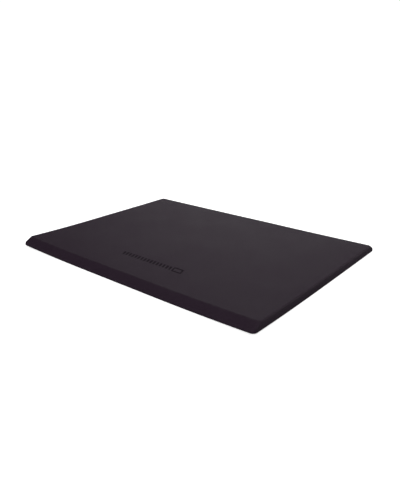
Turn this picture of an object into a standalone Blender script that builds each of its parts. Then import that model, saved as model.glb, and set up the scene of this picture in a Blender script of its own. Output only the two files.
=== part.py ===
"""Anti-fatigue standing mat: a moulded cover filled with two foam layers and closed by a rubber grip sheet.

The mat lies flat on z = 0 with its length along X and its width along Y, and the origin is at the middle of its
footprint. Both long edges ramp down in a walk-on bevel, the two short ends are upright, and the corners are
rounded in plan. The cover is an upside-down tray. The foams fill it, and the grip sheet sits inside its rim
and carries the mat on raised pads. Metres, +Z up.
"""

import math

import bmesh
import bpy

# Overall size
LENGTH = 0.610
WIDTH = 0.465
THICKNESS = 0.016

# Long edges, from the floor up: a short upright lip, a round shoulder, a straight bevel and a soft crown
BEVEL_RUN = 0.0175
LIP_HEIGHT = 0.002
SHOULDER_RADIUS = 0.007
CROWN_RADIUS = 0.006
SHOULDER_STEPS = 7
CROWN_STEPS = 4

# Short ends: upright, with END_RADIUS over their top edge and CORNER_RADIUS round the mat's corners in plan
END_RADIUS = 0.003
CORNER_RADIUS = 0.008
CORNER_STEPS = 6

# Cover
SKIN = 0.0016
RIM_LIFT = 0.0005

# Debossed mark: leaning bars in a row and a leaning open frame after them, a little right of the middle
MARK_DEPTH = 0.0008
MARK_FROM_EDGE = 0.0875
MARK_OFF_MIDDLE = 0.005
MARK_LENGTH = 0.160
MARK_LEAN = -0.35
BAR_COUNT = 16
BAR_HEIGHT = 0.013
BAR_WIDTH = 0.0042
FRAME_LENGTH = 0.024
FRAME_HEIGHT = 0.017
FRAME_LINE = 0.0030

# Foams
COMFORT_THICKNESS = 0.005

# Grip sheet with square pads in straight rows
SHEET_THICKNESS = 0.0014
PAD_HEIGHT = 0.0008
PAD_SIZE = 0.034
PAD_SPACING = 0.0055
PAD_TAPER = 0.0004
PAD_MARGIN = 0.006

# Clearance between bonded pieces, and how far a cutter runs past what it cuts
GAP = 0.0003
OVERRUN = 0.005
SHARP_ANGLE = math.radians(32)

SHEET_TOP = PAD_HEIGHT + SHEET_THICKNESS
COMFORT_TOP = THICKNESS - SKIN - GAP
COMFORT_BOTTOM = COMFORT_TOP - COMFORT_THICKNESS


def bevel_angle():
    """Slope of the line that leaves the shoulder's arc and meets the top level BEVEL_RUN in from the edge."""
    across = BEVEL_RUN - SHOULDER_RADIUS
    up = THICKNESS - LIP_HEIGHT
    return math.acos(SHOULDER_RADIUS / math.hypot(across, up)) - math.atan2(across, up)


def arc(centre_u, centre_z, radius, start, stop, steps):
    """Points on an arc from one angle to another, both ends included."""
    angles = [start + (stop - start) * step / steps for step in range(steps + 1)]
    return [(centre_u + radius * math.cos(a), centre_z + radius * math.sin(a)) for a in angles]


def edge_profile(inset):
    """A long edge's outline moved inwards by inset, as (distance in from the edge, height), bottom to top."""
    slope = bevel_angle()
    tangent = math.pi / 2 + slope
    crown_z = THICKNESS - CROWN_RADIUS
    rise = (crown_z - LIP_HEIGHT) * math.cos(slope) - (SHOULDER_RADIUS - CROWN_RADIUS)
    crown_u = SHOULDER_RADIUS + rise / math.sin(slope)
    shoulder = arc(SHOULDER_RADIUS, LIP_HEIGHT, SHOULDER_RADIUS - inset, math.pi, tangent, SHOULDER_STEPS)
    crown = arc(crown_u, crown_z, CROWN_RADIUS - inset, tangent, math.pi / 2, CROWN_STEPS)
    return [(inset, -OVERRUN)] + shoulder + crown


def section(x, inset, shift):
    """The whole cross-section at x as a loop, front foot to back foot, with both halves shifted inwards."""
    front = [(x, u + shift - WIDTH / 2, z) for u, z in edge_profile(inset)]
    back = [(x, -y, z) for _, y, z in reversed(front)]
    return front + back


def fall(radius, before_end):
    """How far a quarter circle that ends steeply has fallen at a distance before its end."""
    across = max(radius - before_end, 0.0)
    return radius - math.sqrt(radius**2 - across**2)


def end_stations(inset):
    """(x, extra inset, shift) of each cross-section, from the left end to the right end.

    The extra inset rounds the top edge of an end. With the shift as well, the foot of the section follows an
    arc of CORNER_RADIUS in plan.
    """
    corner = max(CORNER_RADIUS - inset, GAP)
    edge = min(max(END_RADIUS - inset, GAP), corner)
    right = []
    for step in range(CORNER_STEPS + 1):
        before_end = corner * (1 - math.sin(math.pi / 2 * step / CORNER_STEPS))
        extra = fall(edge, before_end)
        right.append((LENGTH / 2 - inset - before_end, extra, fall(corner, before_end) - extra))
    return [(-x, extra, shift) for x, extra, shift in reversed(right)] + right


def link(name, bm):
    """Puts a bmesh into a new object in the scene."""
    bmesh.ops.recalc_face_normals(bm, faces=bm.faces)
    mesh = bpy.data.meshes.new(name)
    bm.to_mesh(mesh)
    bm.free()
    obj = bpy.data.objects.new(name, mesh)
    bpy.context.collection.objects.link(obj)
    return obj


def cut_level(bm, level, keep_above):
    """Cuts a closed bmesh flat at a level, throws away one side and closes the cut."""
    geometry = bm.verts[:] + bm.edges[:] + bm.faces[:]
    cut = bmesh.ops.bisect_plane(
        bm,
        geom=geometry,
        dist=1e-6,
        plane_co=(0, 0, level),
        plane_no=(0, 0, 1),
        clear_inner=keep_above,
        clear_outer=not keep_above,
    )
    rim = [item for item in cut["geom_cut"] if isinstance(item, bmesh.types.BMEdge)]
    bmesh.ops.edgeloop_fill(bm, edges=rim)


def mat_layer(name, inset, low=None, high=None):
    """The mat's outer shape moved inwards by inset, cut level at low and at high where they are given."""
    bm = bmesh.new()
    loops = []
    for x, extra, shift in end_stations(inset):
        loops.append([bm.verts.new(point) for point in section(x, inset + extra, shift)])
    count = len(loops[0])
    for one, other in zip(loops, loops[1:]):
        for i in range(count):
            j = (i + 1) % count
            bm.faces.new((one[i], one[j], other[j], other[i]))
    bm.faces.new(loops[0])
    bm.faces.new(loops[-1][::-1])
    bmesh.ops.recalc_face_normals(bm, faces=bm.faces)
    if low is not None:
        cut_level(bm, low, keep_above=True)
    if high is not None:
        cut_level(bm, high, keep_above=False)
    return link(name, bm)


def add_prism(bm, outline, low, high, taper=0.0):
    """Adds a closed prism on a plan outline. With a taper its low end is that much smaller all round."""
    middle_x = sum(x for x, _ in outline) / len(outline)
    middle_y = sum(y for _, y in outline) / len(outline)
    reach = max(math.hypot(x - middle_x, y - middle_y) for x, y in outline)
    share = 1 - taper / reach
    bottom = []
    for x, y in outline:
        point = (middle_x + (x - middle_x) * share, middle_y + (y - middle_y) * share, low)
        bottom.append(bm.verts.new(point))
    top = [bm.verts.new((x, y, high)) for x, y in outline]
    bm.faces.new(bottom[::-1])
    bm.faces.new(top)
    for i in range(len(outline)):
        j = (i + 1) % len(outline)
        bm.faces.new((bottom[i], bottom[j], top[j], top[i]))


def add_ring_prism(bm, outer, inner, low, high):
    """Adds a closed prism between an outer and an inner plan outline with as many points each."""
    levels = [[[bm.verts.new((x, y, z)) for x, y in line] for line in (outer, inner)] for z in (low, high)]
    (low_out, low_in), (high_out, high_in) = levels
    for i in range(len(outer)):
        j = (i + 1) % len(outer)
        bm.faces.new((high_out[i], high_out[j], high_in[j], high_in[i]))
        bm.faces.new((low_in[i], low_in[j], low_out[j], low_out[i]))
        bm.faces.new((low_out[i], low_out[j], high_out[j], high_out[i]))
        bm.faces.new((high_in[i], high_in[j], low_in[j], low_in[i]))


def boolean(obj, other, operation):
    """Adds a Boolean with a helper object, which stays out of the model."""
    modifier = obj.modifiers.new(other.name, "BOOLEAN")
    modifier.operation = operation
    modifier.solver = "EXACT"
    modifier.object = other
    other.hide_render = True
    other.display_type = "WIRE"


def leaning_box(middle_x, middle_y, length, height):
    """Plan outline of a box whose upright sides lean by MARK_LEAN."""
    corners = [(-1, -1), (1, -1), (1, 1), (-1, 1)]
    half_x, half_y = length / 2, height / 2
    return [(middle_x + i * half_x + j * half_y * MARK_LEAN, middle_y + j * half_y) for i, j in corners]


def mark_cutter():
    """The debossed mark as one cutter: a row of bars, then the open frame at its right-hand end."""
    bm = bmesh.new()
    low, high = THICKNESS - MARK_DEPTH, THICKNESS + OVERRUN
    middle_y = MARK_FROM_EDGE - WIDTH / 2
    pitch = (MARK_LENGTH - FRAME_LENGTH) / BAR_COUNT
    for number in range(BAR_COUNT):
        x = MARK_OFF_MIDDLE - MARK_LENGTH / 2 + BAR_WIDTH / 2 + pitch * number
        add_prism(bm, leaning_box(x, middle_y, BAR_WIDTH, BAR_HEIGHT), low, high)
    x = MARK_OFF_MIDDLE + MARK_LENGTH / 2 - FRAME_LENGTH / 2
    outer = leaning_box(x, middle_y, FRAME_LENGTH, FRAME_HEIGHT)
    inner = leaning_box(x, middle_y, FRAME_LENGTH - 2 * FRAME_LINE, FRAME_HEIGHT - 2 * FRAME_LINE)
    add_ring_prism(bm, outer, inner, low, high)
    return link("mark_cutter", bm)


def pad_places(side):
    """Centres of the grip pads along one side of the mat: one in the middle and as many as fit each way."""
    pitch = PAD_SIZE + PAD_SPACING
    room = side / 2 - SKIN - GAP - PAD_MARGIN - PAD_SIZE / 2
    each_way = int(room / pitch)
    return [pitch * number for number in range(-each_way, each_way + 1)]


def pads():
    """All grip pads, each rooted a little way up in the sheet so that they join it."""
    bm = bmesh.new()
    half = PAD_SIZE / 2
    root = SHEET_THICKNESS / 3
    for x in pad_places(LENGTH):
        for y in pad_places(WIDTH):
            outline = [(x - half, y - half), (x + half, y - half), (x + half, y + half), (x - half, y + half)]
            add_prism(bm, outline, 0.0, PAD_HEIGHT + root, taper=PAD_TAPER)
    return link("pads_joined", bm)


def finish(obj, colour, roughness):
    """Gives a piece its material and its shading."""
    material = bpy.data.materials.new(obj.name)
    material.use_nodes = True
    shader = material.node_tree.nodes["Principled BSDF"]
    shader.inputs["Base Color"].default_value = (*colour, 1.0)
    shader.inputs["Roughness"].default_value = roughness
    shader.inputs["Metallic"].default_value = 0.0
    obj.data.materials.append(material)
    obj.data.shade_smooth()
    obj.data.set_sharp_from_angle(angle=SHARP_ANGLE)


for old in list(bpy.data.objects):
    bpy.data.objects.remove(old)

# Cover: the outer shape, hollowed from below and debossed from above
top_cover = mat_layer("top_cover", 0.0, low=RIM_LIFT)
boolean(top_cover, mat_layer("cover_void", SKIN), "DIFFERENCE")
boolean(top_cover, mark_cutter(), "DIFFERENCE")
finish(top_cover, (0.034, 0.026, 0.032), 0.62)

# Foams: the same shape inside the skin, split level into a soft layer over a firm one
comfort_foam = mat_layer("comfort_foam", SKIN + GAP, low=COMFORT_BOTTOM)
finish(comfort_foam, (0.12, 0.12, 0.13), 0.92)
support_foam = mat_layer("support_foam", SKIN + GAP, low=SHEET_TOP + GAP, high=COMFORT_BOTTOM - GAP)
finish(support_foam, (0.035, 0.035, 0.037), 0.90)

# Grip sheet: closes the tray inside the cover's rim and stands on its pads
grip_base = mat_layer("grip_base", SKIN + GAP, low=PAD_HEIGHT, high=SHEET_TOP)
boolean(grip_base, pads(), "UNION")
finish(grip_base, (0.020, 0.020, 0.021), 0.78)
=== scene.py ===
"""Looks of an anti-fatigue standing mat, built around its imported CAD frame.

The mat lies flat with its long bevelled edges along X and the debossed mark near the front edge, at -Y.
From the top down it is a moulded cover, a soft foam, a firm foam and a rubber grip sheet. Metres, +Z up.
"""

import math

import bmesh
import bpy
import numpy as np
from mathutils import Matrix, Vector


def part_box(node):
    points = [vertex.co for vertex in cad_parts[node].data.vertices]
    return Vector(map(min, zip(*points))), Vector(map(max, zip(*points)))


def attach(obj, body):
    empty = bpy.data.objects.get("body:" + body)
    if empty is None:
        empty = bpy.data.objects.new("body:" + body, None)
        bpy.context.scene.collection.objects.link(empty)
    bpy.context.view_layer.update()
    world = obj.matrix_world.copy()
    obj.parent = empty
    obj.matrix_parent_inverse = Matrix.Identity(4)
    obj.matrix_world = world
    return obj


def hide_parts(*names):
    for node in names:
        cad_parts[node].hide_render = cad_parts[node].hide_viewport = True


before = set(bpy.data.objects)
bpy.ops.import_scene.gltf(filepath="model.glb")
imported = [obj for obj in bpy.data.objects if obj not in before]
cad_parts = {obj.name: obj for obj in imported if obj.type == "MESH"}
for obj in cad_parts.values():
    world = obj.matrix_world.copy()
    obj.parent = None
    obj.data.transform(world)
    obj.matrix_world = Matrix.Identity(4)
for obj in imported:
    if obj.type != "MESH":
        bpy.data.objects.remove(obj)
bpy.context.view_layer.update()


# ---- Studio --------------------------------------------------------------------------------------
# A plain white sweep, as floor and sky. The sky gives the mat no light, and the floor gives back under half
# of what falls on it. Broad soft lights stand overhead, in front and far right, and three softboxes behind
# the mat, two of them low, make its top paler there.

FLOOR_SIDE = 60.0
FLOOR_WHITE = 0.9
FLOOR_GLOW = 0.75
FLOOR_BOUNCE = 0.45
SKY_SHOWN = 1.05
CAMERA_PLACE = (0.6570, -0.7886, 0.3924)
CAMERA_TURN = math.radians(39.41)
CAMERA_DIP = math.radians(21.10)
CAMERA_LENS_MM = 36.05
CAMERA_SENSOR_MM = 36.0
WIDE_LIGHT_SPREAD = math.radians(60)
SOFTBOX_DISTANCE = 2.3
SOFTBOX_SIZE = (1.8, 1.2)


def add_lamp(name, kind, place, power):
    """A lamp at place that shines on the middle of the mat."""
    lamp = bpy.data.lights.new(name, kind)
    lamp.energy = power
    holder = bpy.data.objects.new(name, lamp)
    holder.location = place
    holder.rotation_euler = (-Vector(place)).to_track_quat("-Z", "Y").to_euler()
    bpy.context.collection.objects.link(holder)
    return lamp


def wide_light(name, left_of_back, elevation, power):
    """A very soft distant light, from a direction in degrees left of the mat's back and above the floor."""
    turn, rise = math.radians(left_of_back), math.radians(elevation)
    place = (-math.sin(turn) * math.cos(rise), math.cos(turn) * math.cos(rise), math.sin(rise))
    add_lamp(name, "SUN", place, power).angle = WIDE_LIGHT_SPREAD


def softbox(name, left_of_back, height, power):
    """A rectangular lamp that stands at SOFTBOX_DISTANCE in a direction left of the mat's back."""
    turn = math.radians(left_of_back)
    place = (-math.sin(turn) * SOFTBOX_DISTANCE, math.cos(turn) * SOFTBOX_DISTANCE, height)
    lamp = add_lamp(name, "AREA", place, power)
    lamp.shape = "RECTANGLE"
    lamp.size, lamp.size_y = SOFTBOX_SIZE


camera = bpy.data.objects.new("camera", bpy.data.cameras.new("camera"))
camera.location = CAMERA_PLACE
camera.rotation_euler = (math.pi / 2 - CAMERA_DIP, 0.0, CAMERA_TURN)
camera.data.sensor_width = CAMERA_SENSOR_MM
camera.data.lens = CAMERA_LENS_MM
bpy.context.collection.objects.link(camera)
bpy.context.scene.camera = camera
bpy.context.scene.view_settings.view_transform = "Standard"

sky = bpy.data.worlds.new("studio_sky")
sky.use_nodes = True
sky_tree = sky.node_tree
sky_shown = sky_tree.nodes["Background"]
sky_shown.inputs["Color"].default_value = (1.0, 1.0, 1.0, 1.0)
sky_ray = sky_tree.nodes.new("ShaderNodeLightPath")
sky_strength = sky_tree.nodes.new("ShaderNodeMath")
sky_strength.operation = "MULTIPLY"
sky_strength.inputs[1].default_value = SKY_SHOWN
sky_tree.links.new(sky_ray.outputs["Is Camera Ray"], sky_strength.inputs[0])
sky_tree.links.new(sky_strength.outputs[0], sky_shown.inputs["Strength"])
bpy.context.scene.world = sky

wide_light("overhead_light", 0, 85, 0.60)
wide_light("front_light", 180, 25, 1.18)
wide_light("high_front_light", 180, 50, 0.33)
wide_light("far_right_light", -45, 25, 0.97)
softbox("back_softbox", 0, 0.5, 2.1)
softbox("middle_softbox", 20, 0.5, 2.8)
softbox("high_softbox", 39, 1.1, 8.5)

half_floor = FLOOR_SIDE / 2
floor_mesh = bpy.data.meshes.new("floor")
floor_corners = [(x * half_floor, y * half_floor, 0.0) for x, y in ((-1, -1), (1, -1), (1, 1), (-1, 1))]
floor_mesh.from_pydata(floor_corners, [], [(0, 1, 2, 3)])
floor = bpy.data.objects.new("floor", floor_mesh)
bpy.context.collection.objects.link(floor)
floor_paint = bpy.data.materials.new("floor_paint")
floor_paint.use_nodes = True
floor_tree = floor_paint.node_tree
floor_shown = floor_tree.nodes["Principled BSDF"]
floor_shown.inputs["Base Color"].default_value = (FLOOR_WHITE, FLOOR_WHITE, FLOOR_WHITE, 1.0)
floor_shown.inputs["Roughness"].default_value = 0.9
floor_shown.inputs["Specular IOR Level"].default_value = 0.0
floor_shown.inputs["Emission Color"].default_value = (1.0, 1.0, 1.0, 1.0)
floor_shown.inputs["Emission Strength"].default_value = FLOOR_GLOW
floor_bounce = floor_tree.nodes.new("ShaderNodeBsdfDiffuse")
floor_bounce.inputs["Color"].default_value = (FLOOR_BOUNCE, FLOOR_BOUNCE, FLOOR_BOUNCE, 1.0)
floor_ray = floor_tree.nodes.new("ShaderNodeLightPath")
floor_mix = floor_tree.nodes.new("ShaderNodeMixShader")
floor_tree.links.new(floor_ray.outputs["Is Camera Ray"], floor_mix.inputs[0])
floor_tree.links.new(floor_bounce.outputs["BSDF"], floor_mix.inputs[1])
floor_tree.links.new(floor_shown.outputs["BSDF"], floor_mix.inputs[2])
floor_tree.links.new(floor_mix.outputs["Shader"], floor_tree.nodes["Material Output"].inputs["Surface"])
floor.data.materials.append(floor_paint)


# ---- Cover ---------------------------------------------------------------------------------------
# The real piece is one polyurethane skin, 1.6 mm thick, moulded as an upside-down tray: standing face,
# walk-on bevels, upright ends and a trimmed rim that hangs half a millimetre off the floor. A plain mark of
# leaning bars and an open frame is pressed into it while it is soft.

cover_low, cover_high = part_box("top_cover")
HALF_LENGTH = cover_high.x
HALF_WIDTH = cover_high.y
TOP = cover_high.z
RIM = cover_low.z
SKIN = 0.0016

BEVEL_RUN = 0.0175
LIP_HEIGHT = 0.002
SHOULDER = 0.007
CROWN = 0.006
END_ROUND = 0.003
CORNER = 0.008
SMALLEST_ROUND = 0.0004
SHIFT_FADE = 0.2
LIP_POINTS, SHOULDER_POINTS, BEVEL_POINTS, CROWN_POINTS = 3, 11, 7, 9
CORNER_COLUMNS = 12
WALL_ROWS = 5
COVER_GRID = 0.006
COLUMN_GAP = 0.0005
NEARLY_LEVEL = 1e-5

SWELL = 0.0001
SWELL_WAVES = (21, 26)
SWELL_START = (0.8, 2.4)
SLANTED_WAVE = (37, 31)
SLANTED_SHARE = 0.6
CURL_REACH = 0.204
CORNER_CURLS = ((1, -1, 0.0035), (-1, -1, 0.0038), (1, 1, 0.0010))

MARK_DEPTH = 0.0008
MARK_EDGE = 0.0005
MARK_OFF_MIDDLE = 0.005
MARK_FROM_EDGE = 0.0875
MARK_MIDDLE = (MARK_OFF_MIDDLE, MARK_FROM_EDGE - HALF_WIDTH)
MARK_LENGTH = 0.160
MARK_LEAN = -0.35
BAR_COUNT = 16
BAR_SIZE = (0.0042, 0.013)
OPEN_FRAME = (0.024, 0.017)
OPEN_FRAME_LINE = 0.0030
LEAN_FADE = (0.040, 0.035)
LEAN_HOLD = (0.2, 0.1)
RUB_REACH = 0.0024


def bevel_slope():
    """Slope of the line that touches the shoulder's arc and meets the top level BEVEL_RUN from the edge."""
    across, up = BEVEL_RUN - SHOULDER, TOP - LIP_HEIGHT
    return math.acos(SHOULDER / math.hypot(across, up)) - math.atan2(across, up)


def cross_section(foot, level_rows):
    """The mat's outline across its width as rows (y, z, ny, nz), front foot to back foot.

    From the front it is an upright lip, an arc over the shoulder, a straight bevel, an arc over the crown,
    then level, and the back half is its mirror image. (ny, nz) is the outward normal, which turns with the
    arcs, so that point minus t times normal is the same outline moved inwards by t. level_rows are the y of
    the rows between the crowns.
    """
    tangent = math.pi / 2 + bevel_slope()
    crown_z = TOP - CROWN
    rise = (crown_z - LIP_HEIGHT) * math.sin(tangent) - (SHOULDER - CROWN)
    crown_u = SHOULDER - rise / math.cos(tangent)
    lip = np.linspace(foot, LIP_HEIGHT, LIP_POINTS)[:-1]
    shoulder = np.linspace(math.pi, tangent, SHOULDER_POINTS)
    crown = np.linspace(tangent, math.pi / 2, CROWN_POINTS)
    bevel = np.linspace(0, 1, BEVEL_POINTS)[1:-1]
    shoulder_y, shoulder_z = SHOULDER * (1 + np.cos(shoulder)), LIP_HEIGHT + SHOULDER * np.sin(shoulder)
    crown_y, crown_h = crown_u + CROWN * np.cos(crown), crown_z + CROWN * np.sin(crown)
    bevel_y = shoulder_y[-1] + (crown_y[0] - shoulder_y[-1]) * bevel
    bevel_z = shoulder_z[-1] + (crown_h[0] - shoulder_z[-1]) * bevel
    turn = np.concatenate([np.full(len(lip), math.pi), shoulder, np.full(len(bevel), tangent), crown])
    y = np.concatenate([np.zeros(len(lip)), shoulder_y, bevel_y, crown_y]) - HALF_WIDTH
    z = np.concatenate([lip, shoulder_z, bevel_z, crown_h])
    ny, nz = np.cos(turn), np.sin(turn)
    inside = level_rows[np.abs(level_rows) < -y[-1] - NEARLY_LEVEL]
    return np.array(
        [
            np.concatenate([y, inside, -y[::-1]]),
            np.concatenate([z, np.full(len(inside), TOP), z[::-1]]),
            np.concatenate([ny, np.zeros(len(inside)), -ny[::-1]]),
            np.concatenate([nz, np.ones(len(inside)), nz[::-1]]),
        ]
    )


def corner_line(inset):
    """Columns round a corner: how far each is from the end, and how far the outline has come in there.

    In plan the corner is a quarter circle, concentric for every inset.
    """
    corner = max(CORNER - inset, SMALLEST_ROUND)
    before = corner * (1 - np.sin(np.linspace(0, math.pi / 2, CORNER_COLUMNS)))
    return before, corner - np.sqrt(corner**2 - (corner - before) ** 2)


def draped(section, columns, inset, low, high, wall_rows):
    """The outside of the mat, or of a layer inset from it, as a grid of points (column, row, xyz).

    Every column is the cross-section at one x. Near an end the section comes in, so that its foot follows
    the corner's quarter circle of radius CORNER in plan: first by moving along its normals, on a quarter
    circle of radius END_ROUND that rounds the end's edge, and for the rest by a shift towards the middle,
    which is full where y is past SHIFT_FADE. At the end each point of the section drops straight down. A
    layer is the section between the heights low and high: points past a cut lie on it, and none is further
    out than where the section crosses the low cut.
    """
    y, z, ny, nz = section
    half = HALF_LENGTH - inset
    before, comes_in = corner_line(inset)
    edge = max(END_ROUND - inset, SMALLEST_ROUND)
    round_in = edge - np.sqrt(edge**2 - np.clip(edge - before, 0, None) ** 2)
    inner = columns[np.abs(columns) < half - before[0] - COLUMN_GAP]
    x = np.concatenate([(before - half)[::-1], inner, half - before])
    extra = np.concatenate([round_in[::-1], np.zeros(len(inner)), round_in])
    shift = np.concatenate([(comes_in - round_in)[::-1], np.zeros(len(inner)), comes_in - round_in])
    grid = np.empty((len(x), len(y), 3))
    grid[..., 0] = x[:, None]
    grid[..., 1] = y - np.outer(inset + extra, ny) - np.outer(shift, np.clip(y / SHIFT_FADE, -1, 1))
    grid[..., 2] = z - np.outer(inset + extra, nz)
    front = slice(0, len(y) // 2)
    for column in grid:
        at_low, at_high = np.interp((low, high), column[front, 2], column[front, 1])
        column[:, 1] = np.clip(column[:, 1], at_low, -at_low)
        last_below = np.searchsorted(column[front, 2], high) - 1
        if column[:, 2].max() > high + NEARLY_LEVEL:
            column[[last_below, -1 - last_below], 1:] = (at_high, high), (-at_high, high)
    grid[..., 2] = np.clip(grid[..., 2], low, high)
    walls = []
    for end in (grid[0], grid[-1]):
        wall = np.repeat(end[None], wall_rows, axis=0)
        drop = np.linspace(0, 1, wall_rows + 1)[1:, None]
        wall[..., 2] += (low - wall[..., 2]) * drop
        walls.append(wall)
    return np.concatenate([walls[0][::-1], grid, walls[1]])


def settle(points):
    """How the mat lies: flat, but for corners that have taken a slight curl.

    Each corner is lifted by its curl times (1 - distance / reach) squared. The standing face swells and
    dips in waves 0.13 to 0.30 m long, which die out towards the floor with the square of the height: a wave
    along X times one along Y, plus a share of a slanted one, with wave numbers in radians per metre.
    """
    x, y, height = points[..., 0], points[..., 1], points[..., 2] / TOP
    along_x = np.sin(x * SWELL_WAVES[0] + SWELL_START[0])
    along_y = np.sin(y * SWELL_WAVES[1] + SWELL_START[1])
    waves = along_x * along_y + SLANTED_SHARE * np.sin(x * SLANTED_WAVE[0] + y * SLANTED_WAVE[1])
    lift = SWELL * height**2 * waves
    for side_x, side_y, curl in CORNER_CURLS:
        away = np.hypot(x - side_x * HALF_LENGTH, y - side_y * HALF_WIDTH)
        lift += curl * np.clip(1 - away / CURL_REACH, 0, 1) ** 2
    points = points.copy()
    points[..., 2] += lift
    return points


def grid_faces(shape, first=0, flip=False):
    """Quads of a grid, its points numbered from first column by column. They face up unless flipped."""
    index = np.arange(shape[0] * shape[1]).reshape(shape) + first
    corners = [index[:-1, :-1], index[1:, :-1], index[1:, 1:], index[:-1, 1:]]
    quads = np.stack(corners, axis=-1).reshape(-1, 4)
    return quads[:, ::-1] if flip else quads


def make_piece(name, points, faces, sharp_degrees, **masks):
    """A mesh object from points and faces. Coinciding points are joined. A mask is a number per point."""
    mesh = bpy.data.meshes.new(name)
    mesh.from_pydata(points, [], faces if isinstance(faces, list) else faces.tolist())
    for mask, values in masks.items():
        mesh.attributes.new(mask, "FLOAT", "POINT").data.foreach_set("value", values.astype(np.float32))
    work = bmesh.new()
    work.from_mesh(mesh)
    bmesh.ops.remove_doubles(work, verts=work.verts, dist=2e-6)
    bmesh.ops.dissolve_degenerate(work, edges=work.edges, dist=1e-7)
    work.to_mesh(mesh)
    work.free()
    mesh.shade_smooth()
    mesh.set_sharp_from_angle(angle=math.radians(sharp_degrees))
    piece = bpy.data.objects.new(name, mesh)
    bpy.context.collection.objects.link(piece)
    return piece


def mark_lines():
    """Grid lines that the mark needs, across it and along it, from its middle: five over each soft edge."""
    over_edge = MARK_EDGE * np.linspace(-0.5, 0.5, 5)
    frame_middle = (MARK_LENGTH - OPEN_FRAME[0]) / 2
    edges_x = [BAR_PLACES + side * BAR_SIZE[0] / 2 for side in (-1, 1)]
    for half in (OPEN_FRAME[0] / 2, OPEN_FRAME[0] / 2 - OPEN_FRAME_LINE):
        edges_x += [frame_middle - half, frame_middle + half]
    halves_y = np.array([BAR_SIZE[1] / 2, OPEN_FRAME[1] / 2, OPEN_FRAME[1] / 2 - OPEN_FRAME_LINE])
    edges_y = np.concatenate([halves_y, -halves_y])
    across = np.add.outer(np.hstack(edges_x), over_edge).ravel()
    return np.concatenate([across, BAR_PLACES]), np.append(np.add.outer(edges_y, over_edge).ravel(), 0.0)


def mark_share(x, y):
    """How deep the mark is at a place, from 0 to 1, in the leaning frame centred on it.

    A bar is smooth(way in from its sides) times smooth(way in from its ends), where smooth rises from 0 to 1
    over MARK_EDGE. The open frame is its outer box less its inner one.
    """

    def box(away, size):
        soft = [np.clip((half - np.abs(d)) / MARK_EDGE + 0.5, 0, 1) for d, half in zip(away, size)]
        return math.prod(side * side * (3 - 2 * side) for side in soft)

    nearest = np.abs(x[..., None] - BAR_PLACES).min(axis=-1)
    bars = box((nearest, y), (BAR_SIZE[0] / 2, BAR_SIZE[1] / 2))
    from_frame = (x - (MARK_LENGTH - OPEN_FRAME[0]) / 2, y)
    outer = box(from_frame, (OPEN_FRAME[0] / 2, OPEN_FRAME[1] / 2))
    inner = box(from_frame, (OPEN_FRAME[0] / 2 - OPEN_FRAME_LINE, OPEN_FRAME[1] / 2 - OPEN_FRAME_LINE))
    return bars + outer - inner


def spaced(fine, reach, pitch):
    """Grid lines from -reach to reach: the fine ones, and even ones a pitch apart with no fine one near."""
    even = np.linspace(-reach, reach, 2 * round(reach / pitch) + 1)
    clear = np.abs(even[:, None] - fine[None]).min(axis=1) > pitch / 2
    return np.unique(np.round(np.concatenate([even[clear], fine]), 6))


def edge_exposure(points):
    """How exposed a place is to rubbing: exp(-(distance to a crown or end edge / RUB_REACH) squared)."""
    side = HALF_WIDTH - np.abs(points[..., 1])
    end = HALF_LENGTH - np.abs(points[..., 0])
    ramp = np.clip(SHOULDER + (side - SHOULDER / 2) * math.tan(bevel_slope()), 0, TOP)
    crown = np.hypot(side - BEVEL_RUN, points[..., 2] - TOP)
    edge = np.hypot(end, points[..., 2] - ramp)
    return np.exp(-((np.minimum(crown, edge) / RUB_REACH) ** 2))


bar_pitch = (MARK_LENGTH - OPEN_FRAME[0]) / BAR_COUNT
BAR_PLACES = (BAR_SIZE[0] - MARK_LENGTH) / 2 + bar_pitch * np.arange(BAR_COUNT)
lines_x, lines_y = mark_lines()
cover_columns = spaced(lines_x + MARK_MIDDLE[0], HALF_LENGTH - CORNER, COVER_GRID)
cover_rows = spaced(lines_y + MARK_MIDDLE[1], HALF_WIDTH - BEVEL_RUN, COVER_GRID)

skin_section = cross_section(RIM, cover_rows)
outer = draped(skin_section, cover_columns, 0.0, RIM, TOP, WALL_ROWS)
inner = draped(skin_section, cover_columns, SKIN, RIM, TOP, WALL_ROWS)

# The columns lean with the mark, so that its edges run along them, and straighten out again around it. The
# lean stays full for the share LEAN_HOLD of each fade.
from_mark = outer[..., 1] - MARK_MIDDLE[1]
past_end = np.abs(outer[..., 0] - MARK_MIDDLE[0]) - MARK_LENGTH / 2
past_side = np.abs(from_mark) - OPEN_FRAME[1] / 2
fade_x = np.clip(1 + LEAN_HOLD[0] - past_end / LEAN_FADE[0], 0, 1)
fade_y = np.clip(1 + LEAN_HOLD[1] - past_side / LEAN_FADE[1], 0, 1)
lean = MARK_LEAN * from_mark * fade_y * fade_x
pressed = mark_share(outer[..., 0] - MARK_MIDDLE[0], from_mark)
outer[..., 0] += lean
inner[..., 0] += lean
outer[..., 2] -= MARK_DEPTH * pressed

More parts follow.
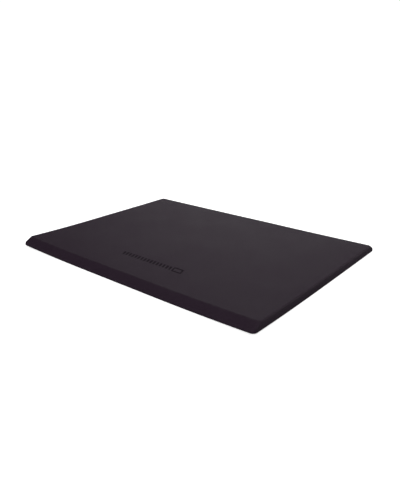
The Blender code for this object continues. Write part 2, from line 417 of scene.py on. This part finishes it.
count = outer.shape[0] * outer.shape[1]
ring_outer = np.arange(count).reshape(outer.shape[:2])
ring_inner = ring_outer + count
rim_faces = []
front_and_back = (np.s_[:, 0], False), (np.s_[:, -1], True)
both_ends = (np.s_[0, :], True), (np.s_[-1, :], False)
for line, turned in (*front_and_back, *both_ends):
    out, back = ring_outer[line], ring_inner[line]
    quads = np.stack([out[:-1], back[:-1], back[1:], out[1:]], axis=-1)
    rim_faces.append(quads[:, ::-1] if turned else quads)
outer_faces = grid_faces(outer.shape[:2])
inner_faces = grid_faces(outer.shape[:2], count, flip=True)
cover = make_piece(
    "cover",
    settle(np.concatenate([outer.reshape(-1, 3), inner.reshape(-1, 3)])),
    np.concatenate([outer_faces, inner_faces, *rim_faces]),
    sharp_degrees=40,
    rub=np.concatenate([edge_exposure(outer).ravel(), np.zeros(count)]),
    pressed=np.concatenate([pressed.ravel(), np.zeros(count)]),
)


def node_group(name, inputs, outputs):
    """A shader node group with named number inputs (name, default) and outputs, and its two end nodes."""
    group = bpy.data.node_groups.new(name, "ShaderNodeTree")
    for label, value in inputs:
        socket = group.interface.new_socket(label, in_out="INPUT", socket_type="NodeSocketFloat")
        socket.default_value = value
    for label in outputs:
        group.interface.new_socket(label, in_out="OUTPUT", socket_type="NodeSocketFloat")
    return group, group.nodes.new("NodeGroupInput"), group.nodes.new("NodeGroupOutput")


def add_node(tree, kind, links=(), **settings):
    """A node with settings, whose named or numbered inputs are linked to sockets or given values."""
    node = tree.nodes.new("ShaderNode" + kind)
    for setting, value in settings.items():
        setattr(node, setting, value)
    for socket, source in dict(links).items():
        if isinstance(source, bpy.types.NodeSocket):
            tree.links.new(source, node.inputs[socket])
        else:
            node.inputs[socket].default_value = source
    return node


def maths(tree, operation, first, second=0.0, third=0.0):
    """The output socket of a Math node."""
    node = add_node(tree, "Math", {0: first, 1: second, 2: third}, operation=operation)
    return node.outputs[0]


def ranged(tree, value, low, high, to_low=0.0, to_high=1.0):
    """A value carried smoothly from the range low..high to the range to_low..to_high."""
    links = {"Value": value, "From Min": low, "From Max": high, "To Min": to_low, "To Max": to_high}
    return add_node(tree, "MapRange", links, interpolation_type="SMOOTHSTEP").outputs["Result"]


def moulded_grain_group():
    """The leathery grain that a mould leaves: rounded pebbles, creases between them, fine dust over both.

    Height is the pebble field, the distance to the nearest crease made to rise fast and flatten, plus a
    little dust. Crease is 1 in the creases, and Drift a slow unevenness about 60 pebbles wide.
    """
    group, given, result = node_group(
        "moulded_grain", [("Pebble Size", 0.0012), ("Dust", 0.3)], ["Height", "Crease", "Drift"]
    )
    place = add_node(group, "TexCoord").outputs["Object"]
    pebbles_per_metre = maths(group, "DIVIDE", 1.0, given.outputs["Pebble Size"])
    bend_scale = maths(group, "MULTIPLY", pebbles_per_metre, 0.45)
    bend = add_node(group, "TexNoise", {"Vector": place, "Scale": bend_scale})
    bend_by = maths(group, "MULTIPLY", given.outputs["Pebble Size"], 0.9)
    links = {0: bend.outputs["Color"], 1: (0.5, 0.5, 0.5)}
    offset = add_node(group, "VectorMath", links, operation="SUBTRACT")
    scaled = add_node(group, "VectorMath", {0: offset.outputs[0], "Scale": bend_by}, operation="SCALE")
    bent = add_node(group, "VectorMath", {0: place, 1: scaled.outputs[0]}, operation="ADD").outputs[0]
    links = {"Vector": bent, "Scale": pebbles_per_metre, "Randomness": 0.85}
    cells = add_node(group, "TexVoronoi", links, feature="DISTANCE_TO_EDGE").outputs["Distance"]
    pebble = ranged(group, cells, 0.0, 0.34)
    dust_scale = maths(group, "MULTIPLY", pebbles_per_metre, 5.0)
    dust = add_node(group, "TexNoise", {"Vector": place, "Scale": dust_scale, "Detail": 3.0}).outputs["Fac"]
    drift_scale = maths(group, "MULTIPLY", pebbles_per_metre, 1 / 60)
    links = {"Vector": place, "Scale": drift_scale, "Detail": 4.0}
    drift = add_node(group, "TexNoise", links).outputs["Fac"]
    height = maths(group, "MULTIPLY_ADD", dust, given.outputs["Dust"], pebble)
    group.links.new(height, result.inputs["Height"])
    group.links.new(ranged(group, cells, 0.02, 0.16, 1.0, 0.0), result.inputs["Crease"])
    group.links.new(ranged(group, drift, 0.30, 0.70), result.inputs["Drift"])
    return group


def edge_rub_group():
    """Wear along the edges: the piece's rub attribute, broken up by noise in patches of the given size."""
    group, given, result = node_group("edge_rub", [("Amount", 0.5), ("Patch Size", 0.012)], ["Rub"])
    place = add_node(group, "TexCoord").outputs["Object"]
    exposed = add_node(group, "Attribute", attribute_name="rub").outputs["Fac"]
    patches = maths(group, "DIVIDE", 1.0, given.outputs["Patch Size"])
    links = {"Vector": place, "Scale": patches, "Detail": 6.0, "Roughness": 0.65}
    broken = ranged(group, add_node(group, "TexNoise", links).outputs["Fac"], 0.35, 0.70)
    rub = maths(group, "MULTIPLY", exposed, broken)
    group.links.new(maths(group, "MULTIPLY", rub, given.outputs["Amount"]), result.inputs["Rub"])
    return group


def placed(tree, group, **values):
    """A group placed in a material with its own values; an underscore in a name stands for a space."""
    node = tree.nodes.new("ShaderNodeGroup")
    node.node_tree = group
    for label, value in values.items():
        node.inputs[label.replace("_", " ")].default_value = value
    return node


def tinted(tree, mask, colour, other):
    """The output of a colour mix: colour where the mask is 0, other where it is 1."""
    start = colour if isinstance(colour, bpy.types.NodeSocket) else (*colour, 1.0)
    return add_node(tree, "Mix", {0: mask, 6: start, 7: (*other, 1.0)}, data_type="RGBA").outputs[2]


def new_finish(name, roughness, specular):
    """A new material with this roughness and specular level, its node tree and its Principled shader."""
    finish = bpy.data.materials.new(name)
    finish.use_nodes = True
    shader = finish.node_tree.nodes["Principled BSDF"]
    shader.inputs["Roughness"].default_value = roughness
    shader.inputs["Specular IOR Level"].default_value = specular
    return finish, finish.node_tree, shader


MOULDED_GRAIN = moulded_grain_group()
EDGE_RUB = edge_rub_group()

COVER_COLOUR = (0.0296, 0.0160, 0.0295)
COVER_PALER = (0.0320, 0.0180, 0.0318)
# The crease colour is painted shade in the grain's creases.
COVER_CREASE_SHADE = (0.0165, 0.0093, 0.0165)
# The recess colour is painted shade in the pressed mark.
COVER_RECESS_SHADE = (0.0115, 0.0063, 0.0115)
COVER_RUBBED = (0.0400, 0.0300, 0.0390)
COVER_ROUGHNESS = (0.59, 0.62)
CREASE_SHADE_SHARE = 0.55
RUB_POLISH = 0.10
RECESS_DULLING = 0.25

cover_finish, tree, shader = new_finish("moulded_skin", COVER_ROUGHNESS[1], 0.15)
grain = placed(tree, MOULDED_GRAIN, Pebble_Size=0.0012, Dust=0.35)
worn = placed(tree, EDGE_RUB, Amount=0.55, Patch_Size=0.010)
recess = add_node(tree, "Attribute", attribute_name="pressed").outputs["Fac"]
body_colour = tinted(tree, grain.outputs["Drift"], COVER_COLOUR, COVER_PALER)
# Painted shade: the grain's creases are darkened in colour.
crease_shade = maths(tree, "MULTIPLY", grain.outputs["Crease"], CREASE_SHADE_SHARE)
body_colour = tinted(tree, crease_shade, body_colour, COVER_CREASE_SHADE)
body_colour = tinted(tree, worn.outputs["Rub"], body_colour, COVER_RUBBED)
# Painted shade: the pressed mark is darkened in colour, as if shaded by its depth.
body_colour = tinted(tree, recess, body_colour, COVER_RECESS_SHADE)
tree.links.new(body_colour, shader.inputs["Base Color"])
sheen_patch = ranged(tree, grain.outputs["Drift"], 0.0, 1.0, *COVER_ROUGHNESS)
polished = maths(tree, "MULTIPLY_ADD", worn.outputs["Rub"], -RUB_POLISH, sheen_patch)
roughness = maths(tree, "MULTIPLY_ADD", recess, RECESS_DULLING, polished)
tree.links.new(roughness, shader.inputs["Roughness"])
bump = add_node(tree, "Bump", {"Height": grain.outputs["Height"], "Distance": 0.00012, "Strength": 0.7})
tree.links.new(bump.outputs["Normal"], shader.inputs["Normal"])
cover.data.materials.append(cover_finish)

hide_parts("top_cover")
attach(cover, "root")


# ---- Foams ---------------------------------------------------------------------------------------
# Two blocks of flexible polyurethane foam fill the cover. The upper one is soft and open-celled and takes
# the feet, the lower one is firm and fine-celled and stops them from reaching the floor. They are cut from
# sheet, with edges that follow the bevels inside the skin, and glued face to face.

FOAM_GRID = 0.012
FOAM_WALL_ROWS = 3
FOAM_CLOUD = 1.18
COMFORT_COLOUR = (0.120, 0.120, 0.130)
# The pore colours are painted shade inside the open cells.
COMFORT_PORE_SHADE = (0.045, 0.045, 0.050)
SUPPORT_COLOUR = (0.035, 0.035, 0.037)
SUPPORT_PORE_SHADE = (0.012, 0.012, 0.013)


def foam_block(name, node):
    """The mat's shape between the node's lowest and highest level, inset to clear the skin.

    The bottom is the same grid pressed flat onto the lower level, so the two share their border.
    """
    low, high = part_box(node)
    rows = spaced(np.zeros(1), HALF_WIDTH - BEVEL_RUN, FOAM_GRID)
    columns = spaced(np.zeros(1), HALF_LENGTH - CORNER, FOAM_GRID)
    section = cross_section(RIM, rows)
    top = draped(section, columns, HALF_LENGTH - high.x, low.z, high.z, FOAM_WALL_ROWS)
    bottom = top.copy()
    bottom[..., 2] = low.z
    shape = top.shape[:2]
    points = np.concatenate([top.reshape(-1, 3), bottom.reshape(-1, 3)])
    faces = np.concatenate([grid_faces(shape), grid_faces(shape, shape[0] * shape[1], flip=True)])
    return make_piece(name, settle(points), faces, sharp_degrees=40)


def foam_cells_group():
    """Cut foam: round open cells of mixed size.

    Pore is 1 deep in a cell and 0 on the struts between cells, Height is minus Pore plus a little fuzz, and
    Cloud is a slow unevenness in the tint.
    """
    group, given, result = node_group("foam_cells", [("Cell Size", 0.001)], ["Pore", "Height", "Cloud"])
    place = add_node(group, "TexCoord").outputs["Object"]
    cells_per_metre = maths(group, "DIVIDE", 1.0, given.outputs["Cell Size"])
    cell = add_node(group, "TexVoronoi", {"Vector": place, "Scale": cells_per_metre}, feature="F1")
    size = ranged(group, cell.outputs["Color"], 0.0, 1.0, 0.30, 0.62)
    depth = maths(group, "DIVIDE", cell.outputs["Distance"], size)
    pore = ranged(group, depth, 0.35, 1.0, 1.0, 0.0)
    fuzz_scale = maths(group, "MULTIPLY", cells_per_metre, 3.0)
    fuzz = add_node(group, "TexNoise", {"Vector": place, "Scale": fuzz_scale, "Detail": 2.0}).outputs["Fac"]
    cloud_scale = maths(group, "MULTIPLY", cells_per_metre, 0.03)
    links = {"Vector": place, "Scale": cloud_scale, "Detail": 3.0}
    cloud = add_node(group, "TexNoise", links).outputs["Fac"]
    group.links.new(pore, result.inputs["Pore"])
    height = maths(group, "MULTIPLY_ADD", pore, -1.0, maths(group, "MULTIPLY", fuzz, 0.4))
    group.links.new(height, result.inputs["Height"])
    group.links.new(ranged(group, cloud, 0.3, 0.7), result.inputs["Cloud"])
    return group


def foam_finish(name, colour, pore_shade, cell_size):
    """Foam of one colour and cell size, dull, paler in clouds and darkened in its pores with painted shade.
    """
    finish, tree, shader = new_finish(name, 0.95, 0.2)
    cells = placed(tree, FOAM_CELLS, Cell_Size=cell_size)
    paler = tuple(FOAM_CLOUD * channel for channel in colour)
    body = tinted(tree, cells.outputs["Cloud"], colour, paler)
    # Painted shade: the pores are darkened in colour.
    tree.links.new(tinted(tree, cells.outputs["Pore"], body, pore_shade), shader.inputs["Base Color"])
    links = {"Height": cells.outputs["Height"], "Distance": cell_size * 0.4, "Strength": 0.8}
    tree.links.new(add_node(tree, "Bump", links).outputs["Normal"], shader.inputs["Normal"])
    return finish


FOAM_CELLS = foam_cells_group()
comfort_block = foam_block("comfort_block", "comfort_foam")
comfort_block.data.materials.append(foam_finish("open_cell_foam", COMFORT_COLOUR, COMFORT_PORE_SHADE, 0.0011))
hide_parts("comfort_foam")
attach(comfort_block, "root")

support_block = foam_block("support_block", "support_foam")
support_block.data.materials.append(foam_finish("fine_cell_foam", SUPPORT_COLOUR, SUPPORT_PORE_SHADE, 0.0006))
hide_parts("support_foam")
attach(support_block, "root")


# ---- Grip sheet ----------------------------------------------------------------------------------
# The underside is one sheet of black rubber, pressed in a plate mould with rows of square pads, and glued
# to the foam inside the cover's rim. Each pad is ribbed, and neighbours are ribbed crossways to each other,
# so that the mat holds on a smooth floor whichever way it is pushed.

sheet_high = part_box("grip_base")[1]
PAD_HEIGHT = 0.0008
PAD_SIZE = 0.034
PAD_PITCH = 0.0395
PAD_TAPER = 0.0004
PADS_ALONG, PADS_ACROSS = 15, 11
GROOVES = 4
GROOVE_PITCH = 0.0068
GROOVE_TOP = 0.0016
GROOVE_FLOOR = 0.0008
GROOVE_DEPTH = 0.0005
GRIP_COLOUR = (0.0165, 0.0165, 0.0175)
GRIP_PALER = (0.0215, 0.0215, 0.0225)
# The crease colour is painted shade in the grain's creases.
GRIP_CREASE_SHADE = (0.0080, 0.0080, 0.0085)
GRIP_RUBBED = (0.0500, 0.0490, 0.0480)
GRIP_ROUGHNESS = 0.82
GRIP_CREASE_SHADE_SHARE = 0.5
GRIP_POLISH = 0.25
TOUCH_REACH = 0.0002


def ribbed_pad():
    """One pad with its ribs along Y, as points and faces that open upwards where the sheet meets it.

    Across X its outline runs flat at the floor level and steps up into each groove. The pad is that outline
    carried from end to end, where its sides flare out by the taper on the way up to the sheet.
    """
    half = PAD_SIZE / 2 - PAD_TAPER
    centres = GROOVE_PITCH * (np.arange(GROOVES) - (GROOVES - 1) / 2)
    steps = np.array([-GROOVE_TOP, -GROOVE_FLOOR, GROOVE_FLOOR, GROOVE_TOP]) / 2
    x = np.concatenate([[-half], np.add.outer(centres, steps).ravel(), [half]])
    z = np.concatenate([[0.0], np.tile([0.0, GROOVE_DEPTH, GROOVE_DEPTH, 0.0], GROOVES), [0.0]])
    end = half + PAD_TAPER * z / PAD_HEIGHT
    near, far = np.stack([x, -end, z], axis=-1), np.stack([x, end, z], axis=-1)
    root = PAD_SIZE / 2
    corners = np.array([(-root, -root), (root, -root), (root, root), (-root, root)])
    corners = np.column_stack([corners, np.full(4, PAD_HEIGHT)])
    n = len(x)
    strips = [(i, n + i, n + i + 1, i + 1) for i in range(n - 1)]
    sides = [(2 * n, 2 * n + 3, n, 0), (2 * n + 1, n - 1, 2 * n - 1, 2 * n + 2)]
    ends = [(2 * n + 1, 2 * n, *range(n)), (2 * n + 3, 2 * n + 2, *range(2 * n - 1, n - 1, -1))]
    return np.concatenate([near, far, corners]), strips + sides + ends


def pad_row(number):
    """Centres of a row of pads, one of them in the middle."""
    return PAD_PITCH * (np.arange(number) - number // 2)


def root_lines(number):
    """Both sides of the root of every pad in a row."""
    return np.add.outer(pad_row(number), (-PAD_SIZE / 2, PAD_SIZE / 2)).ravel()


def grip_sheet():
    """The whole sheet: a grid below with a pad in every other cell each way, the same grid above, its edge.

    Near each end the grid has a line for every step round the corner, and its outer points come in there.
    """
    before, comes_in = corner_line(HALF_LENGTH - sheet_high.x)
    ends = len(before)
    x = np.concatenate([(before - sheet_high.x)[::-1], root_lines(PADS_ALONG), sheet_high.x - before])
    y = np.concatenate([[-sheet_high.y], root_lines(PADS_ACROSS), [sheet_high.y]])
    shape = (len(x), len(y))
    below = np.stack([*np.meshgrid(x, y, indexing="ij"), np.full(shape, PAD_HEIGHT)], axis=-1)
    for line, side in ((0, 1), (-1, -1)):
        below[:ends, line, 1] += side * comes_in[::-1]
        below[-ends:, line, 1] += side * comes_in
    above = below.copy()
    above[..., 2] = sheet_high.z
    points, faces = [below.reshape(-1, 3), above.reshape(-1, 3)], []
    cells = grid_faces(shape, flip=True).reshape(shape[0] - 1, shape[1] - 1, 4)
    holds_pad = np.zeros(cells.shape[:2], bool)
    holds_pad[ends:-ends:2, 1::2] = True
    faces += cells[~holds_pad].tolist()
    faces += grid_faces(shape, shape[0] * shape[1]).tolist()
    index = np.arange(shape[0] * shape[1]).reshape(shape)
    border = np.concatenate([index[:-1, 0], index[-1, :-1], index[:0:-1, -1], index[0, ::-1]])
    upper = border + index.size
    faces += np.stack([border[:-1], border[1:], upper[1:], upper[:-1]], axis=-1).tolist()
    pad, pad_faces = ribbed_pad()
    crossways = pad[:, [1, 0, 2]] * (1, -1, 1)
    first = 2 * index.size
    for i, x_middle in enumerate(pad_row(PADS_ALONG)):
        for j, y_middle in enumerate(pad_row(PADS_ACROSS)):
            points.append((crossways if (i + j) % 2 else pad) + (x_middle, y_middle, 0.0))
            faces += [[first + corner for corner in face] for face in pad_faces]
            first += len(pad)
    return np.concatenate(points), faces


sheet_points, sheet_faces = grip_sheet()
touching = np.exp(-((sheet_points[:, 2] / TOUCH_REACH) ** 2))
grip = make_piece("grip_sheet", settle(sheet_points), sheet_faces, sharp_degrees=25, rub=touching)

grip_finish, tree, shader = new_finish("pressed_rubber", GRIP_ROUGHNESS, 0.35)
grain = placed(tree, MOULDED_GRAIN, Pebble_Size=0.0007, Dust=0.5)
worn = placed(tree, EDGE_RUB, Amount=0.45, Patch_Size=0.015)
body_colour = tinted(tree, grain.outputs["Drift"], GRIP_COLOUR, GRIP_PALER)
# Painted shade: the grain's creases are darkened in colour.
crease_shade = maths(tree, "MULTIPLY", grain.outputs["Crease"], GRIP_CREASE_SHADE_SHARE)
body_colour = tinted(tree, crease_shade, body_colour, GRIP_CREASE_SHADE)
tree.links.new(tinted(tree, worn.outputs["Rub"], body_colour, GRIP_RUBBED), shader.inputs["Base Color"])
polished = maths(tree, "MULTIPLY_ADD", worn.outputs["Rub"], -GRIP_POLISH, GRIP_ROUGHNESS)
tree.links.new(polished, shader.inputs["Roughness"])
bump = add_node(tree, "Bump", {"Height": grain.outputs["Height"], "Distance": 0.00010, "Strength": 0.6})
tree.links.new(bump.outputs["Normal"], shader.inputs["Normal"])
grip.data.materials.append(grip_finish)
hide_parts("grip_base")
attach(grip, "root")
